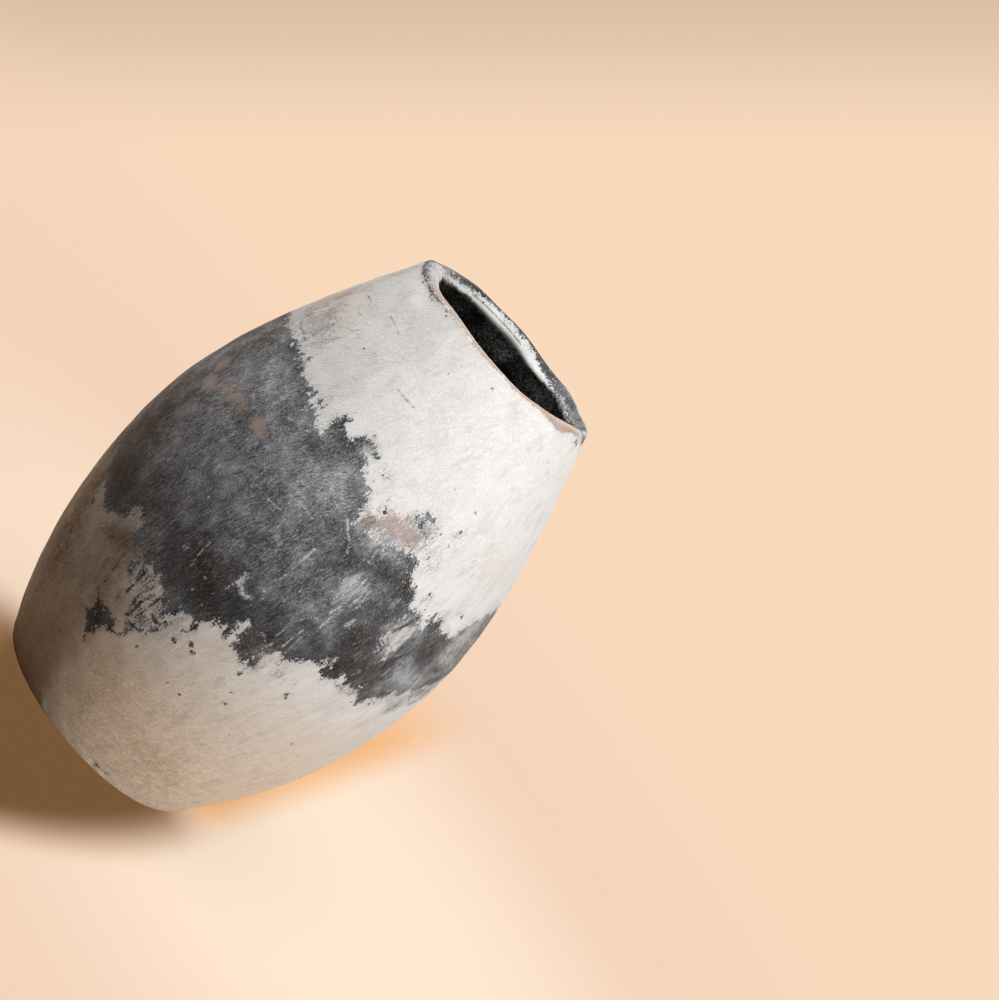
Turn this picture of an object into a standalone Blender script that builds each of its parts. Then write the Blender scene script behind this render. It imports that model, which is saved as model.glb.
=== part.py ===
import math

import bpy

# Driving dimensions of the vase, in metres. It stands on z = 0 with its axis on +Z.
HEIGHT = 0.260             # ground to the crest of the lip
FOOT_RADIUS = 0.0575       # outer wall at the ground, before the heel is rounded
BELLY_RADIUS = 0.0925      # widest part of the outer wall
BELLY_HEIGHT = 0.125       # height of that widest part
MOUTH_RADIUS = 0.053       # outer wall carried up to the crest of the lip
WALL_THICKNESS = 0.008     # measured square to the wall
BASE_THICKNESS = 0.010     # flat slab that the wall is built on
HEEL_ROUND = 0.003         # rounded edge between the slab's edge and its underside
RIM_COIL_HEIGHT = 0.014    # last coil, measured on the outside
SEAM_COIL_LEG = 0.008      # thin coil pressed into the corner inside the base
COURSE_LAP = 0.005         # a course's lower edge reaches this much further down inside
RIM_BAND = 0.004           # the rim coil's plain band inside the mouth, below the round of the lip
LUTING_GAP = 0.0003        # clearance at every joint, where the wet slip sits

# Counts and shape exponents
COURSE_COUNT = 9           # wall coils between the base slab and the rim coil
FOOT_CURVE = 2.1           # 2 is nearly a circular arc from belly to foot
SHOULDER_CURVE = 1.6       # nearer 1 is a straighter, more conical shoulder
SEAM_HOLLOW = 0.7          # 0 is a flat bevel in the inside corner, 1 a full hollow fillet
TURN_STEPS = 48            # facets round the vase
SIDE_STEPS = 3             # facets up the side of one course
ROUND_STEPS = 6            # facets round the lip, the heel and the seam coil's hollow
SOLVE_STEPS = 20           # rounds of the repeated estimates below
SHARP_ANGLE = math.radians(40)

# Fired finish: colour and roughness of each kind of surface
BUFF_SLIP = (0.47, 0.40, 0.30, 1.0)
SMOKED_SLIP = (0.045, 0.040, 0.036, 1.0)
GREY_SLIP = (0.27, 0.25, 0.22, 1.0)
WHITE_SLIP = (0.62, 0.58, 0.50, 1.0)
SOOTED_CLAY = (0.060, 0.048, 0.040, 1.0)
LOW_FINISH = (BUFF_SLIP, BUFF_SLIP, GREY_SLIP)
HIGH_FINISH = (SMOKED_SLIP, SMOKED_SLIP, GREY_SLIP, WHITE_SLIP, WHITE_SLIP, WHITE_SLIP)
WALL_FINISH = LOW_FINISH + HIGH_FINISH
BURNISHED = 0.42
DRY_CLAY = 0.85


def outer_radius(z):
    if z < BELLY_HEIGHT:
        share = (BELLY_HEIGHT - z) / BELLY_HEIGHT
        return BELLY_RADIUS - (BELLY_RADIUS - FOOT_RADIUS) * share ** FOOT_CURVE
    share = (z - BELLY_HEIGHT) / (HEIGHT - BELLY_HEIGHT)
    return BELLY_RADIUS - (BELLY_RADIUS - MOUTH_RADIUS) * share ** SHOULDER_CURVE


def outer_slope(z):
    if z < BELLY_HEIGHT:
        share = (BELLY_HEIGHT - z) / BELLY_HEIGHT
        return (BELLY_RADIUS - FOOT_RADIUS) * FOOT_CURVE * share ** (FOOT_CURVE - 1) / BELLY_HEIGHT
    rise = HEIGHT - BELLY_HEIGHT
    share = (z - BELLY_HEIGHT) / rise
    return -(BELLY_RADIUS - MOUTH_RADIUS) * SHOULDER_CURVE * share ** (SHOULDER_CURVE - 1) / rise


def wall_normal(z):
    # outward normal of the outer wall, as its radial and vertical parts
    slope = outer_slope(z)
    length = math.hypot(1.0, slope)
    return 1.0 / length, -slope / length


def inset_wall(z, depth):
    # radius at height z, a depth in from the outer wall, and the level that it lies square to
    level = z
    for _ in range(SOLVE_STEPS):
        level = z + depth * wall_normal(level)[1]
    return outer_radius(level) - depth * wall_normal(level)[0], level


def inner_radius(z):
    return inset_wall(z, WALL_THICKNESS)[0]


def outer_side(top, bottom, steps=SIDE_STEPS):
    heights = [top + (bottom - top) * i / steps for i in range(steps + 1)]
    return [(outer_radius(z), z) for z in heights]


def inner_side(bottom, top, steps=SIDE_STEPS, inset=0.0):
    heights = [bottom + (top - bottom) * i / steps for i in range(steps + 1)]
    return [(inner_radius(z) - inset, z) for z in heights]


def arc(centre, radius, start, end, steps=ROUND_STEPS):
    angles = [start + (end - start) * i / steps for i in range(steps + 1)]
    return [(centre[0] + radius * math.cos(a), centre[1] + radius * math.sin(a)) for a in angles]


def bend(start, pull, end, t):
    # a point on a smooth bend from start to end, drawn towards pull
    return [(1 - t) ** 2 * a + 2 * t * (1 - t) * p + t ** 2 * b for a, p, b in zip(start, pull, end)]


def fired_material(name, colour, roughness):
    material = bpy.data.materials.new(name)
    material.use_nodes = True
    shader = material.node_tree.nodes["Principled BSDF"]
    shader.inputs["Base Color"].default_value = colour
    shader.inputs["Roughness"].default_value = roughness
    shader.inputs["Metallic"].default_value = 0.0
    return material


def turned(name, profile, closed, colour, roughness):
    # revolves a profile of (radius, height) points that runs down the outer side first
    mesh = bpy.data.meshes.new(name)
    edges = [(i, i + 1) for i in range(len(profile) - 1)]
    if closed:
        edges.append((len(profile) - 1, 0))
    mesh.from_pydata([(r, 0.0, z) for r, z in profile], edges, [])
    piece = bpy.data.objects.new(name, mesh)
    vase.objects.link(piece)
    screw = piece.modifiers.new("Turn", "SCREW")
    screw.axis = "Z"
    screw.steps = TURN_STEPS
    screw.render_steps = TURN_STEPS
    screw.use_merge_vertices = True
    screw.merge_threshold = 0.00001
    bpy.context.view_layer.objects.active = piece
    bpy.ops.object.modifier_apply(modifier=screw.name)
    piece.data.shade_smooth()
    piece.data.set_sharp_from_angle(angle=SHARP_ANGLE)
    piece.data.materials.append(fired_material(name, colour, roughness))
    piece.parent = axis
    return piece


def base_slab():
    # the slab's edge is the lowest part of the outer wall, and its heel is rounded
    heel_radius, heel_top = inset_wall(HEEL_ROUND, HEEL_ROUND)
    outward, downward = wall_normal(heel_top)
    heel = arc((heel_radius, HEEL_ROUND), HEEL_ROUND, math.atan2(downward, outward), -math.pi / 2)
    edge = outer_side(BASE_THICKNESS, heel_top)
    profile = [(0.0, BASE_THICKNESS)] + edge[:-1] + heel + [(0.0, 0.0)]
    turned("base_slab", profile, False, BUFF_SLIP, DRY_CLAY)


def seam_heights():
    # outer edge of each joint, from the slab's top to the rim coil's foot
    low = BASE_THICKNESS
    high = HEIGHT - RIM_COIL_HEIGHT
    return [low + (high - low) * i / COURSE_COUNT for i in range(COURSE_COUNT + 1)]


def inner_seam(index):
    # where the same joint comes out on the inside of the wall
    if index == 0:
        return BASE_THICKNESS
    if index == COURSE_COUNT:
        return lip_arc()[0][1] - RIM_BAND
    return seam_heights()[index] - COURSE_LAP


def wall_course(index):
    seams = seam_heights()
    outside = outer_side(seams[index + 1], seams[index] + LUTING_GAP)
    inside = inner_side(inner_seam(index) + LUTING_GAP, inner_seam(index + 1))
    colour = WALL_FINISH[index * len(WALL_FINISH) // COURSE_COUNT]
    turned(f"wall_coil_{index + 1}", outside + inside, True, colour, BURNISHED)


def lip_arc():
    # a half round as thick as the wall, from its inner side over the crest, leaning in with the shoulder
    lip_round = WALL_THICKNESS / 2
    lip_radius, lip_foot = inset_wall(HEIGHT - lip_round, lip_round)
    outward, upward = wall_normal(lip_foot)
    lean = math.atan2(upward, outward)
    return arc((lip_radius, HEIGHT - lip_round), lip_round, lean + math.pi, lean, 2 * ROUND_STEPS)


def rim_coil():
    lip = lip_arc()
    outside = outer_side(lip[-1][1], seam_heights()[COURSE_COUNT] + LUTING_GAP)
    inside = inner_side(inner_seam(COURSE_COUNT) + LUTING_GAP, lip[0][1])
    turned("rim_coil", lip + outside[1:] + inside[:-1], True, WHITE_SLIP, BURNISHED)


def base_seam_coil():
    # fills the corner between the slab and the first course with a hollow fillet
    floor = BASE_THICKNESS + LUTING_GAP
    against_wall = inner_side(floor, floor + SEAM_COIL_LEG, inset=LUTING_GAP)
    corner, top = against_wall[0], against_wall[-1]
    toe = (corner[0] - SEAM_COIL_LEG, floor)
    pull = [(a + b) / 2 + SEAM_HOLLOW * (c - (a + b) / 2) for a, b, c in zip(toe, top, corner)]
    hollow = [bend(toe, pull, top, i / ROUND_STEPS) for i in range(ROUND_STEPS)]
    turned("base_seam_coil", against_wall[::-1] + hollow, True, SOOTED_CLAY, DRY_CLAY)


for old in list(bpy.data.objects):
    bpy.data.objects.remove(old, do_unlink=True)

vase = bpy.data.collections.new("coil_built_vase")
bpy.context.scene.collection.children.link(vase)
axis = bpy.data.objects.new("vase_axis", None)
vase.objects.link(axis)

base_slab()
base_seam_coil()
for course in range(COURSE_COUNT):
    wall_course(course)
rim_coil()
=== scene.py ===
import math

import bpy
import numpy as np
from mathutils import Matrix, Vector


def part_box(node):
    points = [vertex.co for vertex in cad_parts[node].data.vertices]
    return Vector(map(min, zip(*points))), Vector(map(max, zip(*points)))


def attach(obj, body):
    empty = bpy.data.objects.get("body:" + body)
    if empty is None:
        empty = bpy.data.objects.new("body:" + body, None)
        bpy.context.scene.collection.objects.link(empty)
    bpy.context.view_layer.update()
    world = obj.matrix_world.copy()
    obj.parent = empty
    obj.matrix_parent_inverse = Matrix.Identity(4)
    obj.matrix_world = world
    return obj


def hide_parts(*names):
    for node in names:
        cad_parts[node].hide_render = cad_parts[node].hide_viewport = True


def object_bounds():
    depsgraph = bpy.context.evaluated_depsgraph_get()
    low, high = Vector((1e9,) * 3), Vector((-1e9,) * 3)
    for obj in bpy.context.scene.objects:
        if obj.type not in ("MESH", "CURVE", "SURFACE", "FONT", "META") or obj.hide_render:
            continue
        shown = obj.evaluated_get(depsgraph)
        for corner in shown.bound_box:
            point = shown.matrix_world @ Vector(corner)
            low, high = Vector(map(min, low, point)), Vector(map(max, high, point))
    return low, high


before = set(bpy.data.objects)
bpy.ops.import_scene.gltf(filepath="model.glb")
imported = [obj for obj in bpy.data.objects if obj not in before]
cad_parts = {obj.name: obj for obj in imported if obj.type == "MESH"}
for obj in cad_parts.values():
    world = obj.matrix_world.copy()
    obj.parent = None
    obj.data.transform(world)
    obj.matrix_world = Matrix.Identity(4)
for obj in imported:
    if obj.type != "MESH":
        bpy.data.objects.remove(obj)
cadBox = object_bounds()
print("frame loaded:", len(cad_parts), "clay pieces")

mm = 0.001
courseCount = 9
courses = range(1, courseCount + 1)


def boxHeights(node):
    low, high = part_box(node)
    return low.z / mm, high.z / mm


# Heights (mm) where the joints between the coils come out, read from the solids
slabTop = boxHeights("base_slab")[1]
outerSeams = [slabTop] + [boxHeights(f"wall_coil_{k}")[1] for k in courses[:-1]]
outerSeams.append(boxHeights("rim_coil")[0])
innerSeams = [slabTop] + [boxHeights(f"wall_coil_{k}")[0] for k in courses[1:]]
innerSeams.append(boxHeights(f"wall_coil_{courseCount}")[1])

vaseForm = {
    "height": cadBox[1].z / mm,      # ground to lip
    "bellyRadius": cadBox[1].x / mm,
    "bellyHeight": 125.0,
    "footRadius": 57.5,
    "mouthRadius": 53.0,
    "footCurve": 2.1,                # roundness from belly to foot
    "shoulderCurve": 1.6,            # 1 would be a straight cone
    "bellyEase": 0.14,               # softens the turn from belly to shoulder
    "wall": 8.0,
    "lipRound": 1.9,
    "thickLipRound": 4.2,            # the lip is fuller on the left
    "thickLipAt": (-65.0, 45.0),     # degrees, middle and spread
    "lipSwell": 3.0,                 # and bulges this much into the mouth
    "lipSwellAt": (-90.0, 26.0),
    "lipBevel": 55.0,                # degrees, the lip slopes down into the mouth
    "lipEase": 1.6,                  # soft corner at the end of that slope
    "lipEaseShare": 0.6,             # which takes up no more than this share of it
    "heelRound": 2.4,
    "seamLeg": 8.0,
    "seamHollow": 0.7,               # 0 would be a flat bevel in the corner of the base
    "axisGap": 0.4,                  # rows stop this far from the axis
    "leanFoot": 3.1,                 # the hand-built axis wanders to +X and back
    "leanBelly": 2.0,
    "leanMouth": -4.5,
    "rimTilt": 1.4,                  # to the right
    "rimFront": 0.8,                 # the near side of the lip stands higher
    "rimFrontFrom": -0.2,            # cosine of the angle where that starts
    "rimRight": 2.2,                 # and most of all to the right
    "rimRightAt": (60.0, 28.0),
    "rimPower": 8,                   # how fast all this fades below the rim
}
pointCounts = {           # columns round the vase, and rows along each stretch of its profile
    "columns": 720,
    "underside": 34,
    "heel": 7,
    "slabEdge": 10,
    "out": 36,
    "rimOut": 18,
    "crest": 16,
    "bevel": 26,
    "lipCorner": 10,
    "rimIn": 6,
    "in": 15,
    "inLast": 30,         # the last course shows in the mouth
    "fillet": 9,
    "filletBack": 4,
    "floor": 24,
    "crestBlend": 10,     # rows before and after the crest where the outside turns into the inside
}
innerLevels = 2001        # heights at which the inner wall is worked out
solveRounds = 20


def smoothStep(low, high, value):
    t = np.clip((value - low) / (high - low), 0.0, 1.0)
    return t * t * (3.0 - 2.0 * t)


def band(rise, fall, value):
    # 0 before the rise, 1 between the rise and the fall, 0 after
    return smoothStep(*rise, value) * smoothStep(*fall, value)


def outerRadius(z):
    form = vaseForm
    z = np.asarray(z, float)
    low = np.clip((form["bellyHeight"] - z) / form["bellyHeight"], 0.0, 1.0)
    high = np.clip((z - form["bellyHeight"]) / (form["height"] - form["bellyHeight"]), 0.0, 1.0)
    ease, power = form["bellyEase"], form["shoulderCurve"]
    rise = (high * high + ease * ease) ** (power / 2) - ease ** power
    rise = rise / ((1 + ease * ease) ** (power / 2) - ease ** power)
    foot = (form["bellyRadius"] - form["footRadius"]) * low ** form["footCurve"]
    mouth = (form["bellyRadius"] - form["mouthRadius"]) * rise
    return form["bellyRadius"] - foot - mouth


def outerNormal(z):
    step = 0.01
    slope = (outerRadius(z + step) - outerRadius(z - step)) / (2 * step)
    length = np.hypot(1.0, slope)
    return 1.0 / length, -slope / length


levels = np.linspace(0.0, vaseForm["height"], innerLevels)
levelOut, levelUp = outerNormal(levels)
innerHeights = levels - vaseForm["wall"] * levelUp
innerWidths = outerRadius(levels) - vaseForm["wall"] * levelOut


def innerRadius(z):
    return np.interp(z, innerHeights, innerWidths)


def innerPoint(z):
    return float(innerRadius(z)), z


# A row of the profile is (radius, height) in mm. The profile runs from under the base, up the outside,
# over the lip and down the inside to the floor of the vase
def straightRows(start, end, count):
    t = np.linspace(0.0, 1.0, count + 1)[:, None]
    return np.array(start) * (1 - t) + np.array(end) * t


def wallRows(radiusOf, start, end, count):
    z = np.linspace(start, end, count + 1)
    return np.stack([radiusOf(z), z], 1)


def arcRows(centre, radius, start, end, count):
    a = np.linspace(start, end, count + 1)
    return np.stack([centre[0] + radius * np.cos(a), centre[1] + radius * np.sin(a)], 1)


def bendRows(start, pull, end, count):
    t = np.linspace(0.0, 1.0, count + 1)[:, None]
    return np.array(start) * (1 - t) ** 2 + np.array(pull) * 2 * t * (1 - t) + np.array(end) * t ** 2


def roundOnWall(radius, height):
    # centre of a round that touches the outer wall, the height of that touch and its direction
    level = height
    for _ in range(solveRounds):
        level = height + radius * outerNormal(level)[1]
    out, up = outerNormal(level)
    return (float(outerRadius(level) - radius * out), height), float(level), math.atan2(up, out)


def lipRows(centre, lipRound, turn):
    # a round at the crest, then a bevel that meets the inner wall at a soft corner
    form, counts = vaseForm, pointCounts
    down = math.radians(form["lipBevel"])
    crest = arcRows(centre, lipRound, turn, math.pi / 2 + down, counts["crest"])
    slope = np.array([-math.cos(down), -math.sin(down)])
    stride = 0.02     # mm along the bevel
    corner = crest[-1].copy()
    while corner[0] > innerRadius(corner[1]):
        corner += stride * slope
    ease = min(form["lipEase"], form["lipEaseShare"] * np.linalg.norm(corner - crest[-1]))
    above = corner - ease * slope
    bevel = straightRows(crest[-1], above, counts["bevel"])
    bend = bendRows(above, corner, innerPoint(corner[1] - form["lipEase"]), counts["lipCorner"])
    return np.concatenate([crest, bevel[1:], bend[1:]])


def profileStretches(lip):
    form, counts = vaseForm, pointCounts
    heel, gap, hollow = form["heelRound"], form["axisGap"], form["seamHollow"]
    heelCentre, heelTop, heelTurn = roundOnWall(heel, heel)
    lipCentre, lipFoot, lipTurn = roundOnWall(lip, form["height"] - lip)
    lipCurve = lipRows(lipCentre, lip, lipTurn)
    corner, top = innerPoint(slabTop), innerPoint(slabTop + form["seamLeg"])
    toe = (corner[0] - form["seamLeg"], slabTop)
    pull = [(1 - hollow) * (a + b) / 2 + hollow * c for a, b, c in zip(toe, top, corner)]
    stretches = {
        "underside": straightRows((gap, 0.0), (heelCentre[0], 0.0), counts["underside"]),
        "heel": arcRows(heelCentre, heel, -math.pi / 2, heelTurn, counts["heel"]),
        "slabEdge": wallRows(outerRadius, heelTop, slabTop, counts["slabEdge"]),
        "rimOut": wallRows(outerRadius, outerSeams[-1], lipFoot, counts["rimOut"]),
        "lip": lipCurve,
        "rimIn": wallRows(innerRadius, lipCurve[-1, 1], innerSeams[-1], counts["rimIn"]),
        "fillet": bendRows(top, pull, toe, counts["fillet"]),
        "floor": straightRows(toe, (gap, slabTop), counts["floor"]),
        "filletBack": wallRows(innerRadius, slabTop, top[1], counts["filletBack"]),
    }
    for k in courses:
        inner = counts["inLast"] if k == courseCount else counts["in"]
        stretches[f"out{k}"] = wallRows(outerRadius, outerSeams[k - 1], outerSeams[k], counts["out"])
        stretches[f"in{k}"] = wallRows(innerRadius, innerSeams[k], innerSeams[k - 1], inner)
    return stretches


# Smooth unevenness from waves of random direction, seeded so that every run is the same
def handWaves(points, seed, wavelength, count=28, paces=(0.7, 1.5)):
    rng = np.random.default_rng(seed)
    direction = rng.normal(size=(count, 3))
    direction /= np.linalg.norm(direction, axis=1)[:, None]
    pace = 2 * math.pi / wavelength * rng.uniform(*paces, count)
    phase = rng.uniform(0, 2 * math.pi, count)
    total = np.zeros(points.shape[:-1])
    for d, p, s in zip(direction, pace, phase):
        total += np.cos(points @ (d * p) + s)
    return total / math.sqrt(count / 2)


handMarks = {                       # unevenness: depth (mm), wavelength (mm), seed
    "slow": (0.40, 150.0, 3),       # the wall wanders
    "burnish": (0.08, 16.0, 5),     # flats left by the burnishing stone
    "heelWear": (0.12, 9.0, 6),     # the heel is scuffed
    "finger": (0.35, 24.0, 8),      # finger marks inside
    "floorFinger": (0.35, 30.0, 13),
    "lipWave": (0.45, 38.0, 11),    # the crest of the lip rises and falls
    "coilRidge": 0.55,              # mm, each course bulges a little inside
    "coilRidgeMean": 0.6,           # share of that taken off all over
    "coilRidgeFrom": (0.0, 7.0),    # mm from a seam
    "outerFade": (0.0, 14.0),       # heights (mm) over which the waves outside fade in
    "innerFade": (0.0, 14.0),       # the same inside, above the slab
    "heelBand": ((0.2, 1.5), (8.0, 2.0)),
    "chipFade": (0.0, 1.0),
    "lipBand": (14.0, 3.0),         # mm below the crest, where the lip's waves start and are full
    "swellBand": (24.0, 5.0),       # the same for its bulge
    "chipFloor": 0.3,               # share of a chip that is full depth
    "chips": [                      # angle (degrees, 0 faces the camera), height, radius, depth (mm)
        (15, 3.5, 2.6, 0.7), (22, 4.0, 2.0, 0.5), (-36, 3.0, 2.2, 0.5), (150, 3.0, 3.0, 0.7),
        (-120, 3.5, 2.4, 0.5), (44, 257.5, 3.2, 0.6), (-82, 257.0, 2.6, 0.5), (128, 257.5, 3.0, 0.5),
    ],
}

columnSteps = np.arange(pointCounts["columns"])
turnAngles = -180.0 + 360.0 * columnSteps / pointCounts["columns"]   # 0 faces the camera


def unevenness(points, kind):
    depth, wavelength, seed = handMarks[kind]
    return depth * handWaves(points, seed, wavelength)


def turnFrom(angle, middle):
    return (angle - middle + 180.0) % 360.0 - 180.0


def nearAngle(at):
    # 1 at the middle angle, fading out over the spread
    middle, spread = at
    return np.exp(-(turnFrom(turnAngles, middle) / spread) ** 2)


def nearCrest(z, depths):
    start, full = depths
    return smoothStep(vaseForm["height"] - start, vaseForm["height"] - full, z)


def placeRows(rows, side):
    # turns profile rows into points of the hand-built wall
    form, marks = vaseForm, handMarks
    r = rows[:, :1] * np.ones(len(turnAngles))
    z = rows[:, 1:] * np.ones(len(turnAngles))
    a = np.radians(turnAngles)[None, :] * np.ones_like(r)
    ideal = np.stack([r * np.sin(a), -r * np.cos(a), z], -1)
    s = z / form["height"]
    bulge = np.zeros_like(z)
    lift = np.zeros_like(z)
    if side == "outside":
        bulge = unevenness(ideal, "slow") + unevenness(ideal, "burnish")
        bulge *= smoothStep(*marks["outerFade"], z)
        bulge += unevenness(ideal, "heelWear") * band(*marks["heelBand"], z)
        for angle, height, radius, depth in marks["chips"]:
            gap = np.hypot(r * np.radians(turnAngles - angle), z - height)
            chip = depth * smoothStep(radius, marks["chipFloor"] * radius, gap)
            bulge -= chip * smoothStep(*marks["chipFade"], z)
    if side == "inside":
        seamGap = np.min(np.abs(z[..., None] - np.array(innerSeams)), axis=-1)
        ridge = smoothStep(*marks["coilRidgeFrom"], seamGap) - marks["coilRidgeMean"]
        bulge = unevenness(ideal, "finger") + marks["coilRidge"] * ridge
        bulge *= -smoothStep(*marks["innerFade"], z - slabTop)
        bulge += unevenness(ideal, "slow")
        bulge -= form["lipSwell"] * nearAngle(form["lipSwellAt"]) * nearCrest(z, marks["swellBand"])
    if side in ("outside", "inside"):
        nearRim = s ** form["rimPower"]
        lift = nearCrest(z, marks["lipBand"]) * unevenness(ideal, "lipWave")
        lift += form["rimTilt"] * nearRim * np.sin(a)
        lift += form["rimFront"] * nearRim * smoothStep(form["rimFrontFrom"], 1.0, np.cos(a))
        lift += form["rimRight"] * nearRim * nearAngle(form["rimRightAt"])
    if side == "floor":
        lift = unevenness(ideal, "floorFinger")
    lean = form["leanFoot"] * (1 - s) ** 2 + form["leanBelly"] * 4 * s * (1 - s) + form["leanMouth"] * s ** 2
    r = r + bulge
    return np.stack([r * np.sin(a) + lean, -r * np.cos(a), z + lift], -1)


def rowNormals(points):
    # normals of one continuous sheet of rows, so that the pieces shade as one wall
    around = np.roll(points, -1, 1) - np.roll(points, 1, 1)
    along = np.gradient(points, axis=0)
    normal = np.cross(around, along)
    return normal / np.maximum(np.linalg.norm(normal, axis=-1, keepdims=True), 1e-12)


# Marks of the firing, drawn on the unrolled wall as (angle in degrees, height in mm)
smokeCloud = {
    "front": [
        (-124, 176), (-112, 190), (-96, 194), (-80, 196), (-65, 196), (-55, 197.5), (-48, 197),
        (-42, 195.5), (-38, 193.5), (-35, 193.5), (-31.5, 195), (-30.2, 193), (-29.6, 189.5),
        (-29, 194.5), (-27.5, 195), (-26.5, 191), (-25, 189.5), (-22.5, 187.8), (-21, 185.8),
        (-19, 186.5), (-18.5, 189), (-20.2, 190.5), (-20.3, 197.5), (-19, 200), (-17, 200.6),
        (-16.4, 198), (-14.2, 195.3), (-12.4, 196.2), (-11.5, 198.6), (-9.5, 201.6), (-6, 202.4),
        (-3, 201.4), (-2.6, 199.8), (-5.5, 199.3), (-6.2, 196), (-3, 195.3), (-2.6, 191.8), (-1, 190),
        (2.2, 188.8), (3.2, 190.4), (4, 187), (5.4, 183.6), (6.6, 180), (7.4, 175.5), (9, 174), (12, 176),
        (16, 177), (21, 179), (25, 182), (28.5, 183), (30, 183.5), (30.6, 180), (31.6, 176), (34, 172.5),
        (35.4, 171.4), (37.5, 167), (39.2, 165.4), (42.5, 165.8), (44.2, 164.5), (44.8, 162),
        (46.4, 161.6), (47.7, 164), (48, 169), (49, 169.5), (49.3, 166.8), (51, 166.6), (52.3, 170),
        (52.9, 166.5), (54, 164.3), (58, 164.6), (60.4, 162.6), (62.2, 163.6), (63.2, 166.4),
        (65.5, 169.4), (70, 174), (76, 178), (84, 179), (92, 176), (97, 160), (90, 146), (76, 137.5),
        (71, 137), (68.5, 133), (66, 132.2), (63, 132.4), (61.5, 128.6), (59.8, 127.8), (58.2, 129.6),
        (57.2, 126.5), (54.5, 122.6), (51.6, 119.8), (51.3, 116.4), (50, 115.6), (49, 117), (47.4, 120.2),
        (45.4, 121.6), (42, 121), (40.2, 119.6), (39.6, 122.6), (38.6, 122.4), (38, 119.6), (35.6, 118.4),
        (34, 116.6), (32.8, 118.4), (32.4, 121.4), (31, 121.2), (29, 119.4), (26.8, 118), (25.4, 114),
        (23.8, 114.2), (22.4, 110.4), (20.6, 111.4), (19.4, 112.5), (18.2, 109), (17.8, 104.5),
        (18.4, 100.5), (17.6, 97.6), (15.2, 99), (14, 96), (12.4, 98.2), (9.2, 98.6), (8.8, 105),
        (8.6, 111), (7.9, 113.6), (7.1, 111.5), (6.8, 105), (6.6, 98.8), (5.6, 101.4), (4.6, 103.2),
        (3.6, 100.6), (2, 102), (1.4, 99), (-0.2, 96.6), (-0.9, 91), (-1.6, 94.6), (-4.4, 93),
        (-6.6, 91.8), (-7.2, 86.5), (-8.2, 83), (-9.4, 82), (-12, 84.5), (-13.6, 89), (-14.8, 92),
        (-20, 92), (-24, 91), (-28, 91), (-32, 92), (-34, 99), (-38, 102), (-41, 93), (-46, 87),
        (-51, 85), (-56, 89), (-61, 90), (-66, 97), (-78, 107), (-98, 120), (-116, 132), (-128, 152),
    ],
    "lowPatch": [
        (-28.2, 53), (-25.5, 49), (-22.8, 46), (-21, 51), (-19.8, 55.5), (-17.2, 58.5), (-19.2, 62),
        (-22, 63.5), (-24.2, 61), (-26.8, 61.5), (-27.8, 60), (-26.5, 56.5),
    ],
    "back": [
        (128, 92), (134, 112), (146, 124), (158, 139), (168, 136), (176, 120), (172, 104), (178, 88),
        (168, 72), (152, 66), (140, 72), (131, 80),
    ],
    "rimBack": [
        (74, 262), (80, 257), (92, 254), (112, 248), (134, 244), (150, 248), (168, 242), (180, 246),
        (180, 262),
    ],
    "rimBackLeft": [(-180, 246), (-165, 250), (-150, 252), (-138, 256), (-128, 262), (-180, 262)],
}
brokenCloud = [    # here the cloud only shows as a broken net of islands
    [(-14, 63.5), (-16.5, 69), (-17.4, 76.5), (-17, 82), (-14, 86), (-11, 89.5), (-8, 85.5), (-6, 80.5),
     (-7.2, 77), (-9.5, 70.5), (-12, 67.5)],
    [(-30, 92), (-27, 84), (-22, 78), (-18, 82), (-16, 92)],
    [(66, 133), (72, 124), (78, 128), (84, 140), (78, 140), (70, 137)],
    [(19.5, 195), (21, 199), (25, 199.5), (28, 195.5), (27.5, 191.5), (24, 192.5), (21.5, 193.5)],
]
brokenEdge = -0.1   # mm, just outside the edge, so that noise alone brings the islands out
plainDepth = 0.3    # how dark the cloud is away from the places below
cloudDepth = [   # angle, height, half width, half height (mm), how much darker
    (-52, 97, 18, 12, 0.9), (-66, 116, 12, 20, 0.55), (-8, 106, 30, 15, 0.62), (12, 118, 24, 14, 0.4),
    (33, 138, 14, 24, 0.52), (56, 155, 10, 9, 0.6), (47, 141, 5, 7, 0.45), (47, 126, 12, 8, 0.3),
    (-38, 180, 45, 14, -0.16), (-40, 152, 40, 18, -0.02), (-6, 178, 14, 9, -0.22), (-13, 197, 16, 5, 0.3),
    (-6, 197.5, 5, 3, -0.75), (0, 165, 16, 14, 0.05), (-9, 164, 7, 4, -0.15), (12, 162, 12, 8, 0.3),
    (28, 170, 12, 7, 0.25), (56, 138, 9, 6, -0.35), (72, 156, 11, 22, -0.45), (70, 147.5, 6, 2.5, 0.6),
    (74, 141, 8, 4, 0.6), (18, 178, 14, 4, -0.35), (155, 98, 30, 26, 0.25), (-22, 55, 14, 14, 0.55),
    (-16, 183, 9, 5, 0.28), (-28, 187, 14, 5, 0.16), (51, 167, 8, 5, 0.3), (-45, 196, 40, 3, 0.18),
    (34, 174, 8, 8, 0.25), (35, 121, 10, 5, 0.35), (-29, 99, 12, 9, -0.32),
]
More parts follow.
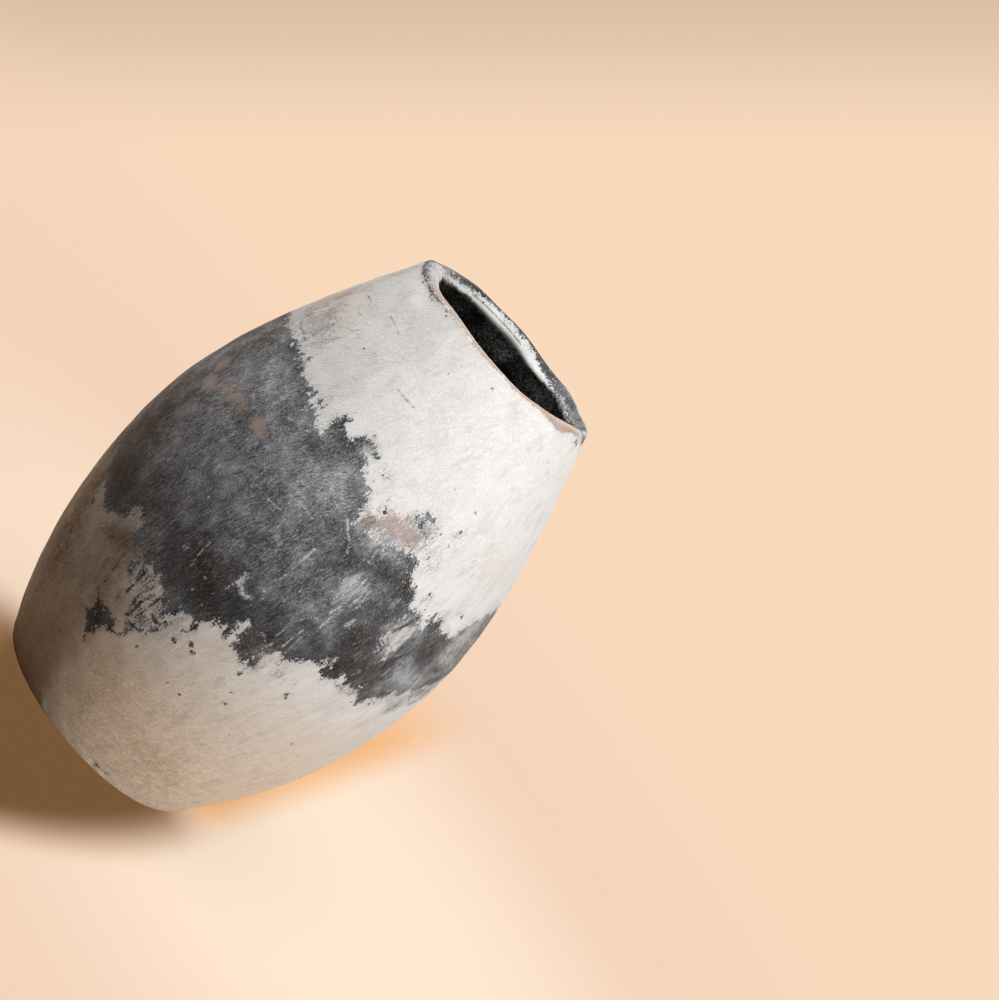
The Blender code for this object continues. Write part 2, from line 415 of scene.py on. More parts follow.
smokeVeil = [    # soft grey wash over the slip
    (80, 160, 12, 24, 0.45), (64, 126, 16, 6, 0.3), (-64, 212, 24, 12, 0.34), (37, 200, 8, 5, 0.22),
    (24, 193.5, 7, 5, 0.7), (26.4, 193, 3, 3, 0.45), (15, 179.5, 9, 3.5, 0.4), (21, 181, 9, 3.5, 0.4),
    (66, 122, 5, 5, 0.55), (150, 100, 50, 45, 0.3), (-135, 165, 30, 40, 0.5), (4, 197, 5, 4, 0.35),
    (-30, 97, 14, 8, 0.55), (33, 186, 6, 7, 0.4), (-14, 76, 8, 12, 0.34), (-72, 98, 16, 12, 0.5),
    (-61, 98, 8, 14, 0.7), (-84, 250, 14, 8, 0.4), (5, 183, 5, 5, 0.35), (-20, 187, 4, 4, 0.35),
    (74, 132, 8, 4, 0.5), (-3, 87, 5, 8, 0.22), (18, 103, 4, 8, 0.25), (44, 118.5, 6, 2.5, 0.35),
    (58, 175, 4, 2, 0.35), (-70, 206, 6, 2, 0.5), (-58, 207, 14, 8, 0.28),
]
beigeSlipAndShade = [     # beige where the slip is thin over the clay; the spots low on the left and at the right of the shoulder are painted shade
    (-70, 80, 40, 30, 0.3), (-70, 214, 40, 16, 0.45), (-60, 240, 30, 14, 0.14), (20, 25, 40, 12, 0.18),
    (-10, 45, 30, 10, 0.15), (56, 205, 26, 26, 0.16), (52, 82, 30, 24, 0.12), (8, 214, 30, 10, 0.08),
    (-140, 90, 60, 50, 0.3), (120, 170, 40, 30, 0.16), (74, 152, 14, 24, -0.4),
]
blushSlip = [    # pink-brown worn patches
    (10, 178.5, 4, 4, 0.7), (15, 184, 7, 5, 0.8), (20, 187.5, 8, 5.5, 0.9), (24.5, 189, 6, 5, 0.8),
    (50, 194, 30, 12, 0.14), (42, 172, 14, 8, 0.2), (-30, 94, 10, 10, 0.4), (24, 106, 14, 6, 0.22),
    (150, 150, 20, 16, 0.5), (-30, 76, 16, 14, 0.25),
]
rustMarks = [    # small red-brown spots
    (-34.5, 167.4, 3.6, 3, 1.05), (-30.5, 167, 2.6, 2.2, 0.6), (-44, 165.4, 4.5, 2.6, 0.9),
    (-49.5, 163, 4, 2.6, 0.9), (-60.5, 155.5, 5, 3.2, 0.95), (-55, 162, 4, 3, 0.5),
    (-67, 163, 6, 5, 0.35), (-64, 216, 9, 3, 0.25),
]
paintedShadeSpots = [    # painted shade: slip darkened brown low down and round the side away from the light
    (-57, 52, 13, 17, 1.05), (-60, 70, 11, 9, 0.45), (-63, 86, 11, 15, 0.85), (-74, 112, 12, 26, 0.95),
    (-40, 82, 14, 12, 0.7), (-32, 89, 10, 8, 0.6), (-40, 60, 18, 10, 0.45), (-24, 66, 10, 10, 0.55),
    (-6, 30, 12, 16, 0.16), (28, 26, 26, 16, 0.28), (-76, 224, 10, 16, 0.3), (-110, 80, 40, 50, 0.55),
    (160, 40, 40, 30, 0.45),
]
flecks = [       # angle, height, radius (mm)
    (-2, 80, 1.1), (2, 85, 1.4), (3.6, 83, 1.2), (4.3, 83.6, 0.9), (21.5, 77, 1.0), (31, 100, 0.9),
    (32, 98.6, 1.2), (20, 83, 0.6), (-3, 91, 0.6), (48, 81, 1.1), (48.8, 111, 0.9), (66, 123, 1.1),
    (65, 119.5, 0.9), (54, 119, 0.9), (11, 64, 0.6), (6, 64, 0.7), (-8, 64, 0.6), (-45, 200, 1.3),
    (2.8, 196.6, 0.9), (4.2, 197, 0.7), (9.5, 191.5, 1.0), (10.5, 189.5, 1.1), (9, 187.5, 0.9),
    (11.6, 187.2, 0.8), (36, 202.4, 1.0), (39, 197, 0.9), (35.5, 195, 0.5), (24, 214, 0.6),
    (36, 212, 0.7), (9, 253, 0.4), (-3, 247, 0.6), (-37, 221, 0.6), (31, 189, 0.7), (30, 188.2, 0.6),
    (32.5, 186, 0.8), (33.4, 185.6, 0.6), (31.6, 184.5, 0.7), (-35, 3.5, 0.8), (17, 92.5, 1.0),
    (60, 173.6, 0.9), (41, 174.4, 0.6), (75, 132, 1.0), (120, 150, 1.4), (128, 143, 1.0), (110, 90, 0.9),
    (-150, 60, 1.2), (-160, 120, 1.5), (140, 200, 0.9), (170, 170, 1.2), (-110, 220, 0.9),
    (-100, 70, 1.0), (-57, 62, 1.6), (-57, 80, 1.4), (-10, 84, 1.3), (-10, 78.5, 1.1), (-7.5, 77, 0.7),
    (-48, 68, 0.7),
]
darkStrokes = [  # width in mm, then the stroke's points
    (1.1, [(-20.2, 52.5), (-17.5, 58.5), (-14.2, 59.5), (-14, 63), (-16.2, 68.5)]),
    (1.5, [(-16.2, 68.5), (-16.8, 75), (-16.2, 80.5), (-15.2, 86)]),
    (1.3, [(-14.5, 72), (-14, 77), (-14, 82.5), (-13, 88)]),
    (1.3, [(-18.5, 81.5), (-18.2, 74.5), (-16.8, 69)]),
    (1.4, [(-15.2, 68), (-11.8, 69), (-10.2, 71.5)]),
    (1.4, [(-11.8, 79), (-8.2, 79), (-7.2, 83)]),
    (1.2, [(-15.2, 59), (-13, 62), (-13.2, 67)]),
    (1.7, [(-22.2, 90), (-22, 82.5), (-22, 75)]),
    (0.8, [(-31, 84), (-30.5, 77.5), (-29.8, 67.5)]),
    (1.2, [(-2.5, 86), (-1.2, 88), (-1, 94), (-0.8, 98)]),
    (1.0, [(-26.4, 92), (-26.4, 86)]),
    (0.9, [(17, 97), (17.2, 93)]),
    (1.5, [(43.6, 165), (41.5, 158.5), (39.5, 153)]),
    (0.9, [(37.5, 143.5), (40.8, 141)]),
    (0.9, [(38, 145.5), (41.5, 143)]),
    (0.9, [(38.6, 147.2), (41.8, 144.8)]),
    (0.9, [(39.4, 149), (42.6, 146.8)]),
    (1.6, [(46, 139), (47.8, 143.5), (49, 147)]),
    (1.0, [(13.5, 4.8), (15, 4.4)]),
    (1.0, [(16.5, 4.0), (18.6, 3.8)]),
    (0.9, [(20, 3.6), (22.5, 3.4)]),
]
brownStrokes = [   # stains on the slip
    (4.2, [(9.0, 173), (9.4, 177), (10.4, 181)]),
    (1.2, [(-72.5, 208.5), (-72, 210.5), (-71, 213.5)]),
    (0.9, [(-65.5, 217), (-68, 219), (-64, 223)]),
    (0.8, [(-62.8, 212.5), (-62.5, 215.5), (-62.5, 219)]),
    (1.1, [(-53.2, 211), (-55, 213), (-55.5, 215)]),
    (0.9, [(-67.2, 202), (-63.2, 201), (-57.8, 202)]),
    (1.0, [(-57.8, 204.5), (-54, 205), (-56, 207)]),
    (1.0, [(-56.2, 201), (-54.2, 201.5)]),
    (0.5, [(-46, 237.5), (-41.8, 237.5), (-36.8, 237), (-33.8, 236)]),
    (0.5, [(-29.8, 211), (-27, 212)]),
    (0.6, [(-16, 223.5), (-12.2, 223.5), (-6.2, 224)]),
    (0.6, [(-60, 228), (-56, 226), (-53, 227)]),
    (0.6, [(-66, 232), (-60, 233), (-56, 231)]),
    (0.7, [(-76, 222), (-73, 226), (-72, 231)]),
    (0.6, [(-50, 219), (-47, 221), (-46, 224)]),
]
paleScrapes = [    # wide and broken, in the cloud
    (2.6, [(39, 149.5), (40, 142)]),
    (2.2, [(-2.2, 125.5), (-1.8, 121), (1.2, 118.6), (3.2, 120.6)]),
    (1.4, [(27.6, 146), (27.2, 142)]),
    (1.0, [(22, 138), (21.6, 133)]),
    (1.2, [(32.2, 128), (32.6, 124)]),
    (1.4, [(30.6, 124.5), (31.8, 122.6)]),
    (0.8, [(38.2, 124), (39, 121)]),
    (0.9, [(41, 130), (41.6, 128)]),
    (0.9, [(-28.2, 180), (-29.6, 180.6)]),
    (0.9, [(-36.6, 181.8), (-37.4, 181.2)]),
    (1.6, [(38.6, 152), (38.4, 147)]),
    (3.4, [(42.2, 157), (42.4, 152), (42.6, 146)]),
    (3.0, [(44.8, 159), (44.6, 152), (44.2, 146)]),
    (1.8, [(43, 146), (44.2, 140.4)]),
    (0.9, [(39.2, 161), (38.6, 157)]),
    (0.8, [(-18.6, 112), (-19.2, 110.5)]),
    (0.8, [(12.4, 113.5), (14, 112.4)]),
]
paleScratches = [  # thin, nearly unbroken
    (1.3, [(5.2, 174), (8, 170.5), (10, 168.5)]),
    (1.2, [(11, 166.5), (12, 164.5)]),
    (0.9, [(3.8, 133), (4.8, 138), (4.8, 143.5), (5, 150), (5, 156)]),
    (0.9, [(18.8, 160), (18.8, 153.5), (18.8, 146.5)]),
    (0.9, [(19.6, 163), (19.6, 156), (20, 150)]),
    (0.9, [(21.5, 162.5), (21.5, 157), (21.8, 151), (22, 145.5)]),
    (0.9, [(23, 162), (23.2, 155.5), (23.8, 148)]),
    (0.8, [(16.5, 160.5), (17.2, 153.5)]),
    (0.8, [(24.8, 161), (25.2, 154.5), (25.5, 150)]),
    (0.9, [(7.2, 174), (7.4, 178.5), (8.5, 181.5)]),
    (0.9, [(20.8, 140.5), (21.8, 147)]),
    (0.8, [(18.8, 115), (19.2, 127.5)]),
    (0.8, [(20.8, 114), (20.5, 124.5)]),
    (0.8, [(15.5, 117), (15.8, 127), (18.2, 134.5)]),
    (0.8, [(-14, 153.5), (-9.2, 155)]),
    (0.8, [(-11, 162), (-5.8, 163.5), (-1.5, 163)]),
    (0.8, [(-10.2, 165), (-5, 166.5)]),
    (0.8, [(18, 168), (21.2, 169)]),
    (0.9, [(22, 133), (22, 140.5)]),
    (0.8, [(-14, 108.5), (-15, 114), (-15.2, 122)]),
    (0.8, [(-3, 115), (-2.5, 122.5)]),
    (1.3, [(-2, 155), (-1.8, 155.3)]),
    (1.4, [(4.2, 127), (4.4, 127.3)]),
    (1.2, [(-25.2, 132.5), (-25, 132.8)]),
    (1.2, [(-4.2, 101), (-4, 101.3)]),
    (1.4, [(19.5, 135.5), (19.2, 135)]),
    (1.1, [(-9, 102), (-8.8, 102.3)]),
    (1.1, [(-9, 110), (-8.8, 110.3)]),
    (1.1, [(-13.5, 153.5), (-13.3, 153.8)]),
]
wipedPatches = [  # angle, height, half width, half height, strength: streaky pale patches in the cloud
    (20.4, 154, 6.5, 10, 0.95), (42, 150, 7, 9.5, 1.1), (56, 138, 10, 6, 0.35), (72, 160, 8, 14, 0.4),
    (17, 177, 12, 4, 0.55), (-8, 190, 10, 5, 0.25), (-4, 181, 10, 6, 0.25), (33, 148, 6, 8, 0.1),
    (14, 170, 8, 4, 0.3), (47, 158, 5, 4, 0.4), (17, 108, 4, 8, 0.45), (34, 162, 5, 4, 0.3),
]
leaning = [      # where the burnishing strokes lean far over to the right
    (-12, 174, 24, 13, 1.0), (4, 178, 10, 8, 0.6), (150, 100, 40, 20, 0.6),
]
crossing = [     # and where they cross to the left
    (-30, 140, 22, 14, 0.7), (32, 150, 14, 20, 0.7), (-62, 165, 20, 12, 0.5), (10, 108, 16, 10, 0.6),
]
unrollRadius = 85.0   # mm, turns an angle on the drawing into a length
markReach = 14.0      # mm, marks are measured this far from their edges
mostBeige = 0.95      # how far the slip turns beige towards the foot
beigeHeights = (150.0, 12.0)
strokeMarks = {"line": darkStrokes, "stain": brownStrokes, "scrape": paleScrapes, "scratch": paleScratches}
softMarks = {
    "depth": cloudDepth, "veil": smokeVeil, "warm": beigeSlipAndShade, "blush": blushSlip, "rust": rustMarks,
    "paintedShade": paintedShadeSpots, "wiped": wipedPatches,
}
turnMarks = {"lean": leaning, "cross": crossing}
edgeMarks = ("smoke", "fleck", *strokeMarks, "soot")
markNames = (*edgeMarks, *softMarks, "chalk", *turnMarks, "bare")


def alongWall(angle):
    return np.radians(angle) * unrollRadius


def segmentGap(u, v, start, end):
    su, sv = alongWall(start[0]), start[1]
    du, dv = alongWall(end[0]) - su, end[1] - sv
    t = np.clip(((u - su) * du + (v - sv) * dv) / (du * du + dv * dv), 0.0, 1.0)
    return np.hypot(u - su - t * du, v - sv - t * dv)


def insideOutline(u, v, outline):
    # mm inside the outline, negative outside
    gap = np.full(u.shape, 1e9)
    inside = np.zeros(u.shape, bool)
    for start, end in zip(outline, outline[1:] + outline[:1]):
        gap = np.minimum(gap, segmentGap(u, v, start, end))
        su, sv, eu, ev = alongWall(start[0]), start[1], alongWall(end[0]), end[1]
        if sv != ev:
            inside ^= ((sv > v) != (ev > v)) & (u < (eu - su) * (v - sv) / (ev - sv) + su)
    return np.where(inside, gap, -gap)


def softSpots(a, z, spots):
    total = np.zeros(a.shape)
    for angle, height, halfWidth, halfHeight, strength in spots:
        across = alongWall(turnFrom(a, angle)) / halfWidth
        total += strength * np.exp(-across ** 2 - ((z - height) / halfHeight) ** 2)
    return total


def strokeField(u, v, strokes):
    best = np.full(u.shape, -markReach)
    for width, points in strokes:
        for start, end in zip(points, points[1:]):
            best = np.maximum(best, width / 2 - segmentGap(u, v, start, end))
    return best


def noMarks(rows):
    shape = (len(rows), len(turnAngles))
    return {name: np.full(shape, -markReach if name in edgeMarks else 0.0) for name in markNames}


def join(marks, name, field):
    marks[name] = np.maximum(marks[name], field)


def firingMarks(rows):
    a = turnAngles[None, :] * np.ones((len(rows), 1))
    z = rows[:, 1:] * np.ones(len(turnAngles))
    u = alongWall(a)
    marks = noMarks(rows)
    for outline in smokeCloud.values():
        join(marks, "smoke", insideOutline(u, z, outline))
    for outline in brokenCloud:
        join(marks, "smoke", np.minimum(insideOutline(u, z, outline), brokenEdge))
    for angle, height, radius in flecks:
        join(marks, "fleck", radius - np.hypot(u - alongWall(angle), z - height))
    for name, strokes in strokeMarks.items():
        marks[name] = strokeField(u, z, strokes)
    for name, spots in {**softMarks, **turnMarks}.items():
        marks[name] = softSpots(a, z, spots)
    marks["depth"] += plainDepth
    marks["warm"] += mostBeige * smoothStep(*beigeHeights, z)
    return marks


lipMarks = {      # round the mouth, at these angles, in mm along the wall from the crest of the lip inwards
    "angle": (-180, -165, -150, -135, -120, -108, -95, -80, -65, -50, -40, -20, 0, 20, 32, 45, 58, 66, 76, 90,
              105, 125, 140, 155, 168),
    "sootFrom": (9.6, 9.4, 8.5, 7, 5.5, 4.6, 4, 3.5, 3, 3, 3, 3, 3, 3, 3, 3, 3, 3, 2.5, 3,
                 3.5, 4.5, 6, 7.5, 9),
    "smokeHalf": (1.3, 1.6, 2.2, 3.2, 3.2, 2.4, 1.1, 0.7, 0.7, 0.5, 0.2, -2, -6, -6, -5, -4, -3, -1, 2, 3.5,
                  4.4, 5.2, 5.4, 4, 2.2),
    "smokeAt": (0.2, 0.2, 0.2, 0.2, 0, -0.4, -1.2, -1.9, -2.1, -2.2, -2.2, -2, -2, -2, -2, -2, -2, -2, 0, 0.2,
                0.6, 1.2, 1.4, 0.8, 0.3),
    "smokeDepth": (0.8, 0.8, 0.75, 0.7, 0.65, 0.6, 0.55, 0.5, 0.5, 0.5, 0.5, 0.5, 0.5, 0.5, 0.5, 0.5, 0.5,
                   0.5, 0.45, 0.4, 0.3, 0.2, 0.2, 0.45, 0.7),
    "bareHalf": (-1, -1, -1, -1, -1, -1, -1, -1, -0.6, 0.3, 0.8, 1.2, 0.9, 0.8, 1.4, 2.8, 3, 1.4, -0.5, -1,
                 -1, -1, -1, -1, -1),
    "bareAt": -1.0,
    "depthBand": (-9.0, -4.0),            # the wall's charcoal gives way to the lip's own
    "beigeEdge": 0.25,                    # the slip is thin on the edge
    "beigeBand": ((-7.0, -2.0), (2.0, 0.0)),
    "greyCrest": 0.85,                    # the full part of the lip is greyed
    "greyAt": (-75.0, 45.0),
    "greyBand": ((-4.0, -2.0), (6.0, 3.0)),
    "chalkBand": ((1.0, 2.4), (9.5, 7.5)),   # white strip on the far lip
    "chalkFrom": (100.0, 130.0),          # it fades in between these angles
    "chalkShort": 24.0,                   # and ends this much sooner on the right
    "creaseAt": 5.4,                      # crease under the far lip
    "creaseHalf": 0.5,
    "creaseSwing": 0.5,                   # mm up and down
    "creaseWaves": 3,                     # so many times round the mouth
    "creaseNear": (-162.0, 20.0),
    "creaseHold": 3.0,                    # higher keeps it whole further round
    "flecks": [   # angle, mm past the crest, radius
        (-58, -3.8, 0.9), (-46, -3.4, 0.9), (-43, -4.4, 0.7), (-30, -4.2, 0.7), (66, -5.6, 0.9),
        (70, -4.6, 1.1), (73, -6.0, 1.0),
    ],
}


def rimMarks(rows, marks, crest):
    # over the crest: bare clay on the worn edge, white slip on the far side, soot below
    look = lipMarks
    length = np.concatenate([[0.0], np.cumsum(np.hypot(*np.diff(rows, axis=0).T))])
    past = (length - length[crest])[:, None] * np.ones(len(turnAngles))
    a = turnAngles[None, :] * np.ones((len(rows), 1))
    byAngle = {key: np.interp(a, look["angle"], look[key], period=360)
               for key in ("sootFrom", "bareHalf", "smokeHalf", "smokeAt", "smokeDepth")}
    inner = past > 0.0
    for name in edgeMarks:
        marks[name][inner] = -markReach
    for name in softMarks:
        marks[name][inner] = np.broadcast_to(marks[name][crest], past.shape)[inner]
    join(marks, "smoke", byAngle["smokeHalf"] - np.abs(past - byAngle["smokeAt"]))
    onLip = smoothStep(*look["depthBand"], past)
    marks["depth"] = marks["depth"] * (1 - onLip) + byAngle["smokeDepth"] * onLip
    marks["warm"] = marks["warm"] + look["beigeEdge"] * band(*look["beigeBand"], past)
    marks["soot"] = np.clip(past - byAngle["sootFrom"], -markReach, markReach)
    marks["bare"] = byAngle["bareHalf"] - np.abs(past - look["bareAt"])
    greyed = look["greyCrest"] * nearAngle(look["greyAt"]) * band(*look["greyBand"], past)
    marks["veil"] = marks["veil"] + greyed
    swing = look["creaseSwing"] * np.sin(look["creaseWaves"] * np.radians(a))
    crease = look["creaseHalf"] - np.abs(past - look["creaseAt"] - swing)
    crease -= markReach * (1 - np.minimum(1.0, look["creaseHold"] * nearAngle(look["creaseNear"])))
    marks["stain"] = np.where(inner, np.maximum(marks["stain"], crease), marks["stain"])
    farTurn = np.where(a > 0, a - look["chalkShort"], -a)
    marks["chalk"] = band(*look["chalkBand"], past) * smoothStep(*look["chalkFrom"], farTurn)
    lipRadius = rows[crest, 0]
    for angle, at, radius in look["flecks"]:
        join(marks, "fleck", radius - np.hypot(np.radians(a - angle) * lipRadius, past - at))


stretches = profileStretches(vaseForm["lipRound"])
thickLip = profileStretches(vaseForm["thickLipRound"])
sheets = {}
shellNames = ["heel", "slabEdge", *[f"out{k}" for k in courses], "rimOut", "lip", "rimIn"]
shellNames += [f"in{k}" for k in reversed(courses)]


def buildShell():
    # outside, lip and inside make one sheet, so that shading runs over the crest without a break
    start, rows, thick = {}, stretches[shellNames[0]][:1], thickLip[shellNames[0]][:1]
    for name in shellNames:
        start[name] = len(rows) - 1
        rows = np.concatenate([rows, stretches[name][1:]])
        thick = np.concatenate([thick, thickLip[name][1:]])
    crest = int(np.argmax(rows[:, 1]))
    reach = pointCounts["crestBlend"]
    weight = smoothStep(crest - reach, crest + reach, np.arange(len(rows)))[:, None, None]
    thin, full = [placeRows(profile, "outside") * (1 - weight) + placeRows(profile, "inside") * weight
                  for profile in (rows, thick)]
    share = nearAngle(vaseForm["thickLipAt"])[None, :, None]
    points = thin * (1 - share) + full * share
    marks = firingMarks(rows)
    rimMarks(rows, marks, crest)
    normals = rowNormals(points)
    for name in shellNames:
        span = slice(start[name], start[name] + len(stretches[name]))
        sheets[name] = (points[span], normals[span], {key: value[span] for key, value in marks.items()})


def buildSheet(name, side):
    points = placeRows(stretches[name], side)
    sheets[name] = (points, rowNormals(points), noMarks(stretches[name]))


buildShell()
buildSheet("underside", "flat")
buildSheet("fillet", "floor")
buildSheet("floor", "floor")
buildSheet("filletBack", "flat")
print("wall surface drawn:", sum(len(s[0]) for s in sheets.values()), "rows of", len(turnAngles))


class NodeTree:
    def __init__(self, owner):
        owner.use_nodes = True
        self.owner = owner
        self.nodes = owner.node_tree.nodes
        self.links = owner.node_tree.links
        self.nodes.clear()
        self.grains = {}

    def feed(self, socket, value):
        if isinstance(value, bpy.types.NodeSocket):
            self.links.new(value, socket)
        elif value is not None:
            socket.default_value = value

    def add(self, kind, inputs, output=0, **settings):
        # a new node with its inputs set or linked, handed on as one of its outputs
        node = self.nodes.new(kind)
        for key, value in settings.items():
            setattr(node, key, value)
        for socket, value in inputs.items():
            self.feed(node.inputs[socket], value)
        return node.outputs[output]

    def mark(self, name):
        return self.add("ShaderNodeAttribute", {}, "Fac", attribute_type="GEOMETRY", attribute_name=name)

    def place(self):
        return self.add("ShaderNodeTexCoord", {}, "Object")

    def axes(self):
        node = self.nodes.new("ShaderNodeSeparateXYZ")
        self.feed(node.inputs[0], self.place())
        return [node.outputs[name] for name in "XYZ"]

    def twisted(self, perMetre):
        # winds the place round the axis as it rises, so that upright streaks lean
        angle = self.times(self.axes()[2], perMetre)
        inputs = {"Vector": self.place(), "Angle": angle}
        return self.add("ShaderNodeVectorRotate", inputs, "Vector", rotation_type="Z_AXIS")

    def grain(self, name, scale, detail, rough, distort=0.0, stretch=None, lean=None, shift=(0, 0, 0)):
        # a named noise pattern, stretched into streaks and leaned over where that is asked for
        vector = self.place() if lean is None else self.twisted(lean)
        if stretch:
            inputs = {"Vector": vector, "Location": shift, "Scale": stretch}
            vector = self.add("ShaderNodeMapping", inputs, "Vector")
        inputs = {"Vector": vector, "Scale": scale, "Detail": detail}
        inputs.update({"Roughness": rough, "Distortion": distort})
        self.grains[name] = self.add("ShaderNodeTexNoise", inputs, "Fac")

    def calc(self, operation, *values):
        return self.add("ShaderNodeMath", dict(enumerate(values)), operation=operation)

    def times(self, a, b):
        return self.calc("MULTIPLY", a, b)

    def plus(self, a, b):
        return self.calc("ADD", a, b)

    def scaled(self, value, amount, base):
        return self.calc("MULTIPLY_ADD", value, amount, base)

    def total(self, first, **amounts):
        # first + amount * (value - 0.5) for each noise pattern named
        for name, amount in amounts.items():
            first = self.plus(first, self.scaled(self.grains[name], amount, -0.5 * amount))
        return first

    def span(self, value, low, high, toLow=0.0, toHigh=1.0, smooth=True):
        inputs = dict(enumerate((value, low, high, toLow, toHigh)))
        kind = "SMOOTHSTEP" if smooth else "LINEAR"
        return self.add("ShaderNodeMapRange", inputs, interpolation_type=kind)

    def ease(self, share, start, end):
        return self.span(share, 0.0, 1.0, start, end)

    def thread(self, value, level, half):
        # 1 where a noise value passes the level
        return self.span(self.calc("ABSOLUTE", self.calc("SUBTRACT", value, level)), 0.0, half, 1.0, 0.0)

    def patch(self, name, start, end, most, faint, **amounts):
        # a soft mark broken up by noise, and kept off where the mark is faint
        broken = self.span(self.total(self.mark(name), **amounts), start, end, 0.0, most)
        return self.times(broken, self.span(self.mark(name), *faint))

    def mix(self, factor, a, b):
        return self.add("ShaderNodeMix", {0: factor, 2: a, 3: b}, data_type="FLOAT")

    def blend(self, factor, a, b, mode="MIX"):
        return self.add("ShaderNodeMix", {0: factor, 6: a, 7: b}, 2, data_type="RGBA", blend_type=mode)

    def ramp(self, value, stops):
        node = self.nodes.new("ShaderNodeValToRGB")
        self.feed(node.inputs["Fac"], value)
        elements = node.color_ramp.elements
        while len(elements) < len(stops):
            elements.new(0.5)
        for element, (position, colour) in zip(elements, stops):
            element.position = position
            element.color = colour
        return node.outputs["Color"]

    def glow(self, colour):
        return self.add("ShaderNodeEmission", {"Color": colour})

    def matt(self, colour):
        return self.add("ShaderNodeBsdfDiffuse", {"Color": colour})

    def mixShader(self, factor, a, b):
        return self.add("ShaderNodeMixShader", {0: factor, 1: a, 2: b})

    def directRay(self):
        # 1 for a ray that shows the background itself, also in gloss and through glass
        path = self.nodes.new("ShaderNodeLightPath").outputs
        seen = self.calc("MAXIMUM", path["Is Camera Ray"], path["Is Glossy Ray"])
        return self.calc("MAXIMUM", seen, path["Is Transmission Ray"])

    def show(self, shader, kind="ShaderNodeOutputMaterial"):
        self.links.new(shader, self.nodes.new(kind).inputs["Surface"])
        return self.owner

    def finish(self, colour, roughness, height, look):
        bump = self.add("ShaderNodeBump", {"Distance": look["bumpDepth"], "Height": height}, "Normal")
        inputs = {"Base Color": colour, "Roughness": roughness, "Normal": bump}
        inputs["Specular IOR Level"] = look["specular"]
        return self.show(self.add("ShaderNodeBsdfPrincipled", inputs))


def newMaterial(name, grains):
    t = NodeTree(bpy.data.materials.new(name))
    for grain, settings in grains.items():
        t.grain(grain, **settings)
    return t, t.grains


slipFinish = {
    "white": (0.77, 0.757, 0.745, 1),
    "beige": (0.70, 0.53, 0.385, 1),
    "pinkish": (0.76, 0.69, 0.635, 1),
    "chalk": (0.93, 0.915, 0.88, 1),
    "wisp": (0.86, 0.745, 0.62, 1),
    "greyWash": (0.31, 0.32, 0.335, 1),
    "blush": (0.395, 0.312, 0.268, 1),
    "lavender": (0.60, 0.565, 0.57, 1),
    "brown": (0.36, 0.27, 0.20, 1),
    # painted shade colour, multiplied over the slip on the shaded side
    "paintedShade": (0.22, 0.165, 0.125, 1),
    "rust": (0.46, 0.27, 0.18, 1),
    "stain": (0.17, 0.13, 0.10, 1),
    "scrape": (0.60, 0.60, 0.605, 1),
    "ash": (0.42, 0.42, 0.43, 1),
    "fleck": (0.030, 0.030, 0.031, 1),
    "bareClay": (0.47, 0.305, 0.205, 1),
    "worn": (0.45, 0.385, 0.345, 1),
    "soot": (0.07, 0.07, 0.068, 1),
    "sootGrey": (0.80, 0.80, 0.78, 1),
    "charStops": (          # charcoal from thin grey to thick black
        (0.00, (0.60, 0.60, 0.61, 1)),
        (0.25, (0.25, 0.255, 0.265, 1)),
        (0.50, (0.085, 0.087, 0.092, 1)),
        (0.75, (0.026, 0.026, 0.027, 1)),
        (1.00, (0.007, 0.007, 0.007, 1)),
    ),
    "coolTint": (0.985, 1.0, 1.022, 1),
    "warmTint": (1.02, 1.0, 0.972, 1),
    "paleLevel": 0.46,      # noise levels that the pale and the dark scratches follow
    "darkLevel": 0.55,
    "scratchHalf": 0.04,
    "fray": 7.0,            # mm, the cloud's edge frays upright
    "frayFade": (0.243, 0.252),   # heights (m), not at the rim
    "pitScale": 170.0,
    "bumpDepth": 0.0003,
    "specular": 0.17,
}
burnishStroke = {"scale": 1500.0, "detail": 3.0, "rough": 0.66, "stretch": (1, 1, 0.20)}
fineScratch = {"scale": 430.0, "detail": 3.0, "rough": 0.6, "distort": 0.6}
slipGrain = {
    "ragged": {"scale": 190.0, "detail": 5.0, "rough": 0.65},
    "fringe": {"scale": 520.0, "detail": 4.0, "rough": 0.62, "stretch": (1, 1, 0.22)},
    "salt": {"scale": 1350.0, "detail": 2.0, "rough": 0.7},
    "island": {"scale": 480.0, "detail": 3.0, "rough": 0.6, "stretch": (1, 1, 0.7), "shift": (0.7, 0.2, 0.1)},
    "blotch": {"scale": 105.0, "detail": 5.0, "rough": 0.62},
    "mottle": {"scale": 34.0, "detail": 4.0, "rough": 0.55},
    "leanMask": {"scale": 24.0, "detail": 2.0, "rough": 0.5, "stretch": (1, 1, 1), "shift": (3.1, 0.4, 1.7)},
    "crossMask": {"scale": 40.0, "detail": 2.0, "rough": 0.5, "stretch": (1, 1, 1), "shift": (0.3, 2.2, 0.9)},
    # burnishing strokes: most lean a little, some far over, some cross them
    "upright": {**burnishStroke, "lean": -1.2},
    "leaned": {**burnishStroke, "lean": -8.5},
    "crossed": {**burnishStroke, "lean": 4.5},
    "dash": {"scale": 900.0, "detail": 2.0, "rough": 0.5, "stretch": (1, 1, 0.22), "lean": -3.4,
             "shift": (0.4, 0.1, 0.6)},
    # fine scratches, each a thread where the noise passes a level
    "hair": {**fineScratch, "stretch": (1, 1, 0.10), "lean": -2.4},
    "scuff": {**fineScratch, "stretch": (1, 1, 0.13), "lean": -10.0},
    "graze": {**fineScratch, "stretch": (1, 1, 0.13), "lean": 9.0},
    "girdle": {"scale": 300.0, "detail": 2.0, "rough": 0.5, "distort": 1.6, "stretch": (0.16, 0.16, 1)},
    "drift": {"scale": 150.0, "detail": 4.0, "rough": 0.6, "stretch": (1, 1, 0.15), "lean": -2.4,
              "shift": (0.2, 0.9, 0.3)},
}


